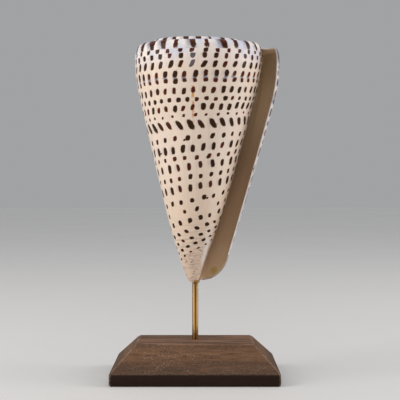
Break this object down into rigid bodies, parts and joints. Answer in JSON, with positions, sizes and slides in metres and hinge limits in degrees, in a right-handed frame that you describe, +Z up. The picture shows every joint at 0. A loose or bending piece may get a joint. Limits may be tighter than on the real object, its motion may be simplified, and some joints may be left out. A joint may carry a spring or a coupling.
{
  "type": "cone shell on stand",
  "caption": "Tall cone seashell with a flat spiral spire and a long narrow aperture, held tip down on a brass post in a bevelled dark wooden block",
  "frame": {"origin": "centre of the wooden block's flat underside", "axes": "+Z up along the brass post, +X to the right as the aperture side, -Y to the viewer"},
  "size_m": [0.0806, 0.0656, 0.1634],
  "materials": {
    "shell": "glossy cream shell with rows of dark brown spots, beige inside",
    "brass": "polished round brass rod",
    "glue": "set amber glue, glossy",
    "wood": "dark stained wood, worn satin, grain along its width"
  },
  "bodies": {
    "root": {"shell": "shell", "post": "brass", "glue": "glue", "base": "wood"}
  },
  "joints": []
}
